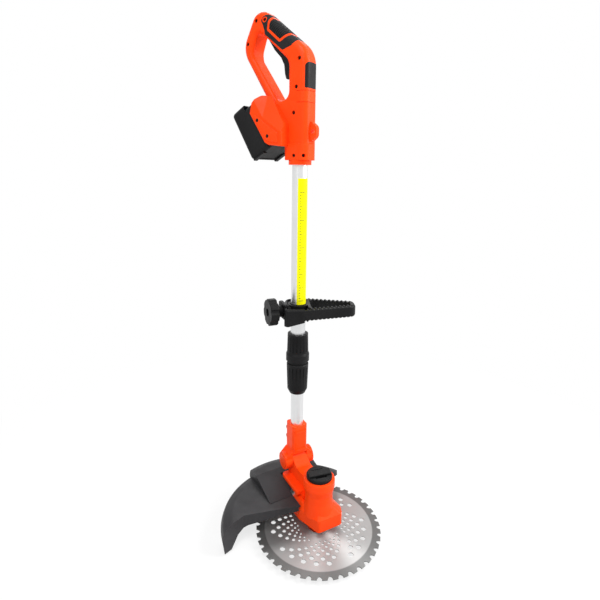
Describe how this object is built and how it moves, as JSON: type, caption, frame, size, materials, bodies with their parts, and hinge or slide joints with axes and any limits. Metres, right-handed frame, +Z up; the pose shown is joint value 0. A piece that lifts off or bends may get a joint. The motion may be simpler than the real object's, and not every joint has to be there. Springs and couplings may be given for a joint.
{
  "type": "cordless string trimmer",
  "caption": "Upright cordless garden trimmer with a loop handle and trigger, slide-in battery, telescopic shaft, clamped front grip and tilting motor head with a guard and toothed disc blade.",
  "frame": {"origin": "on the blade's axis at floor level, in the middle of the blade nut's bottom face", "axes": "+Z up along the shaft, +X the way the handle points forward, +Y to the left of it"},
  "size_m": [0.3249, 0.268, 0.9408],
  "materials": {
    "orange_plastic": "satin",
    "dark_plastic": "fine grain",
    "soft_grip": "soft touch",
    "guard_plastic": "fine grain",
    "tube_alloy": "satin",
    "label_film": "smooth",
    "inner_plastic": "plain",
    "lead_rubber": "plain",
    "board": "plain",
    "contact_metal": "plain",
    "cell_sleeve": "plain",
    "dark_steel": "plain",
    "motor_steel": "plain",
    "magnet": "plain",
    "blade_steel": "ground",
    "clamp_steel": "turned"
  },
  "bodies": {
    "handle": {"handle_shell_left": "orange_plastic", "handle_shell_right": "orange_plastic", "tube_screws": "dark_steel", "grip_border": "soft_grip", "grip_pad": "soft_grip", "front_panel": "dark_plastic", "handle_screws": "dark_steel", "trigger_pin": "dark_steel", "trigger_spring": "dark_steel", "micro_switch": "inner_plastic", "control_board": "board", "terminal_block": "inner_plastic", "contact_tabs": "contact_metal", "upper_tube": "tube_alloy", "scale_label": "label_film", "lock_sleeve": "dark_plastic", "lock_collet": "inner_plastic", "coiled_lead": "lead_rubber", "lead_grommet": "inner_plastic"},
    "trigger": {"trigger": "dark_plastic"},
    "battery": {"battery_case": "dark_plastic", "battery_lid": "dark_plastic", "battery_cells": "cell_sleeve"},
    "battery_button": {"battery_button": "dark_plastic"},
    "lock_nut": {"lock_nut": "dark_plastic"},
    "slider": {"guide_bush": "inner_plastic"},
    "lower_shaft": {"lower_tube": "tube_alloy", "socket_left": "orange_plastic", "socket_right": "orange_plastic", "socket_screws": "dark_steel", "hinge_pin": "dark_steel"},
    "head": {"head_housing": "orange_plastic", "gear_base": "orange_plastic", "head_screws": "dark_steel", "vent_cap": "dark_plastic", "motor_can": "motor_steel", "motor_magnets": "magnet", "ring_gear": "motor_steel", "lower_bearing": "motor_steel", "upper_bearing": "motor_steel", "guard": "guard_plastic", "guard_screws": "dark_steel"},
    "pivot_button": {"pivot_button": "orange_plastic"},
    "blade": {"blade": "blade_steel", "output_spindle": "motor_steel", "upper_flange": "clamp_steel", "lower_cup": "clamp_steel", "blade_nut": "clamp_steel"},
    "rotor": {"motor_rotor": "motor_steel", "sun_pinion": "motor_steel"},
    "planet_1": {"planet_gear_1": "motor_steel"},
    "planet_2": {"planet_gear_2": "motor_steel"},
    "planet_3": {"planet_gear_3": "motor_steel"},
    "grip_slider": {"grip_liner": "soft_grip"},
    "front_grip": {"front_grip": "dark_plastic", "clamp_pad": "soft_grip"},
    "clamp_knob": {"clamp_knob": "dark_plastic", "clamp_screw": "dark_steel"}
  },
  "joints": [
    {"name": "trigger_press", "type": "hinge", "parent": "handle", "child": "trigger", "pos_m": [-0.15019, 0.04086, 0.91], "axis": [0, -1, 0], "range_deg": [0, 6], "stiffness_Nm_per_rad": 0.8, "springref_deg": -8.59},
    {"name": "battery_slide", "type": "slide", "parent": "handle", "child": "battery", "axis": [-0.515, 0, 0.8572], "range_m": [0, 0.1]},
    {"name": "battery_button_press", "type": "slide", "parent": "battery", "child": "battery_button", "axis": [-0.8572, 0, -0.515], "range_m": [0, 0.004], "stiffness_N_per_m": 400, "springref_m": -0.001},
    {"name": "lock_turn", "type": "hinge", "parent": "handle", "child": "lock_nut", "pos_m": [-0.08019, 0.04086, 0.27], "axis": [0, 0, 1], "range_deg": [0, 90]},
    {"name": "shaft_extend", "type": "slide", "parent": "handle", "child": "slider", "axis": [0, 0, -1], "range_m": [0, 0.25], "deforming": ["coiled_lead"]},
    {"name": "shaft_twist", "type": "hinge", "parent": "slider", "child": "lower_shaft", "pos_m": [-0.08019, 0.04086, 0.4], "axis": [0, 0, 1], "range_deg": [-63, 117]},
    {"name": "head_tilt", "type": "hinge", "parent": "lower_shaft", "child": "head", "pos_m": [-0.08019, 0.04086, 0.098], "axis": [0.454, 0.891, 0], "range_deg": [0, 60]},
    {"name": "pivot_button_press", "type": "slide", "parent": "lower_shaft", "child": "pivot_button", "axis": [0.454, 0.891, 0], "range_m": [0, 0.004], "stiffness_N_per_m": 400, "springref_m": -0.001},
    {"name": "blade_spin", "type": "hinge", "parent": "head", "child": "blade", "pos_m": [0, 0, 0.02], "axis": [0, 0, 1], "continuous": true},
    {"name": "rotor_spin", "type": "hinge", "parent": "head", "child": "rotor", "pos_m": [0, 0, 0.07], "axis": [0, 0, 1], "continuous": true},
    {"name": "planet_1_spin", "type": "hinge", "parent": "blade", "child": "planet_1", "pos_m": [0.01069, -0.00545, 0.042], "axis": [0, 0, 1], "continuous": true},
    {"name": "planet_2_spin", "type": "hinge", "parent": "blade", "child": "planet_2", "pos_m": [-0.00063, 0.01198, 0.042], "axis": [0, 0, 1], "continuous": true},
    {"name": "planet_3_spin", "type": "hinge", "parent": "blade", "child": "planet_3", "pos_m": [-0.01006, -0.00654, 0.042], "axis": [0, 0, 1], "continuous": true},
    {"name": "front_grip_slide", "type": "slide", "parent": "handle", "child": "grip_slider", "axis": [0, 0, 1], "range_m": [-0.02, 0.2]},
    {"name": "front_grip_twist", "type": "hinge", "parent": "grip_slider", "child": "front_grip", "pos_m": [-0.08019, 0.04086, 0.404], "axis": [0, 0, 1], "range_deg": [-90, 90]},
    {"name": "clamp_turn", "type": "hinge", "parent": "front_grip", "child": "clamp_knob", "pos_m": [-0.10906, -0.00359, 0.404], "axis": [-0.5446, -0.8387, 0], "range_deg": [0, 360]}
  ],
  "couplings": [
    {"joint": "rotor_spin", "follows": "blade_spin", "ratio": 5},
    {"joint": "planet_1_spin", "follows": "blade_spin", "ratio": -2.6667},
    {"joint": "planet_2_spin", "follows": "blade_spin", "ratio": -2.6667},
    {"joint": "planet_3_spin", "follows": "blade_spin", "ratio": -2.6667}
  ]
}
